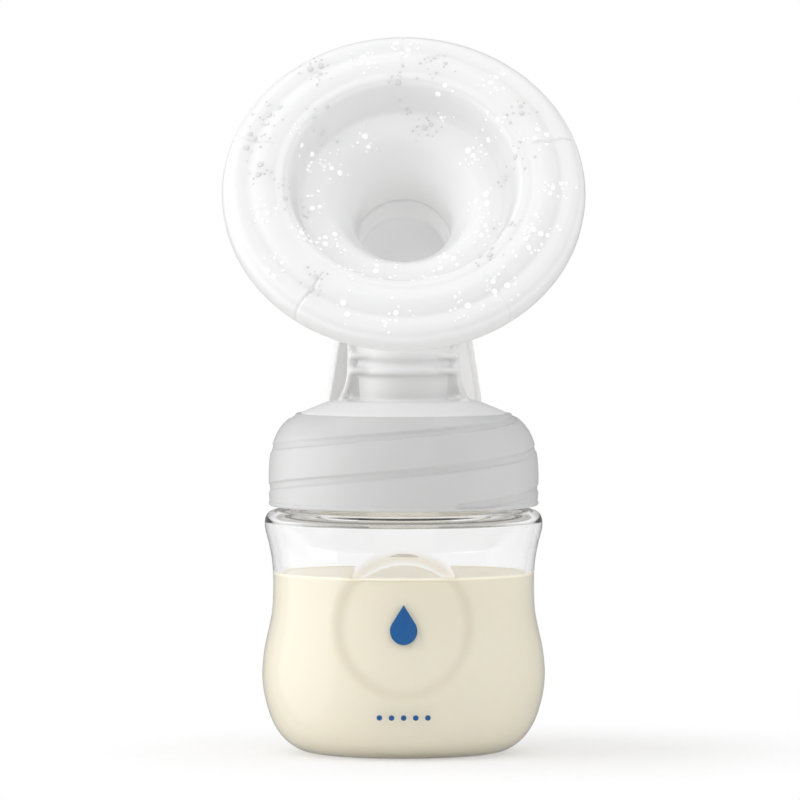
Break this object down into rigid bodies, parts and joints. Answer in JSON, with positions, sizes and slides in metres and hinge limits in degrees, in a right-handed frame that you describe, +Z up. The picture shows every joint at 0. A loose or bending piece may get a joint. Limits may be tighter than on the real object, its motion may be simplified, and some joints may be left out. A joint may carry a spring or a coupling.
{
  "type": "manual breast pump",
  "caption": "Manual breast pump: tilted funnel with a soft textured cushion on a frosted body, rear squeeze handle, swirl screw ring and a clear waisted bottle holding milk.",
  "frame": {"origin": "centre of the bottle's foot, on the surface the pump stands on", "axes": "+Z up along the bottle's axis; the funnel faces -Y and tilts up; the handle is on the +Y side; +X is to the right when the funnel faces the viewer"},
  "size_m": [0.0896, 0.1308, 0.1792],
  "materials": {
    "clear_plastic": "gloss",
    "milk": "satin",
    "ring_plastic": "satin",
    "frosted_plastic": "satin",
    "soft_silicone": "matte",
    "white_silicone": "matte",
    "clear_silicone": "matte",
    "white_plastic": "gloss"
  },
  "bodies": {
    "bottle": {"bottle": "clear_plastic", "milk": "milk"},
    "pump_head": {"pump_body": "frosted_plastic", "cushion": "soft_silicone", "duckbill_valve": "white_silicone", "diaphragm": "clear_silicone"},
    "screw_ring": {"screw_ring": "ring_plastic"},
    "handle": {"handle": "white_plastic"},
    "stem": {"diaphragm_stem": "white_plastic"}
  },
  "joints": [
    {"name": "head_lift", "type": "slide", "parent": "bottle", "child": "pump_head", "axis": [0, 0, 1], "range_m": [0, 0.00458]},
    {"name": "ring_turn", "type": "hinge", "parent": "pump_head", "child": "screw_ring", "pos_m": [0, 0, 0.0725], "axis": [0, 0, 1], "range_deg": [0, 330]},
    {"name": "handle_squeeze", "type": "hinge", "parent": "pump_head", "child": "handle", "pos_m": [0, 0.05, 0.1395], "axis": [-1, 0, 0], "range_deg": [0, 18]},
    {"name": "stem_lift", "type": "slide", "parent": "pump_head", "child": "stem", "axis": [0, 0, 1], "range_m": [0, 0.0082], "deforming": ["diaphragm"]}
  ],
  "couplings": [
    {"joint": "ring_turn", "follows": "head_lift", "rad_per_m": 1256.6},
    {"joint": "stem_lift", "follows": "handle_squeeze", "m_per_rad": 0.025942}
  ]
}
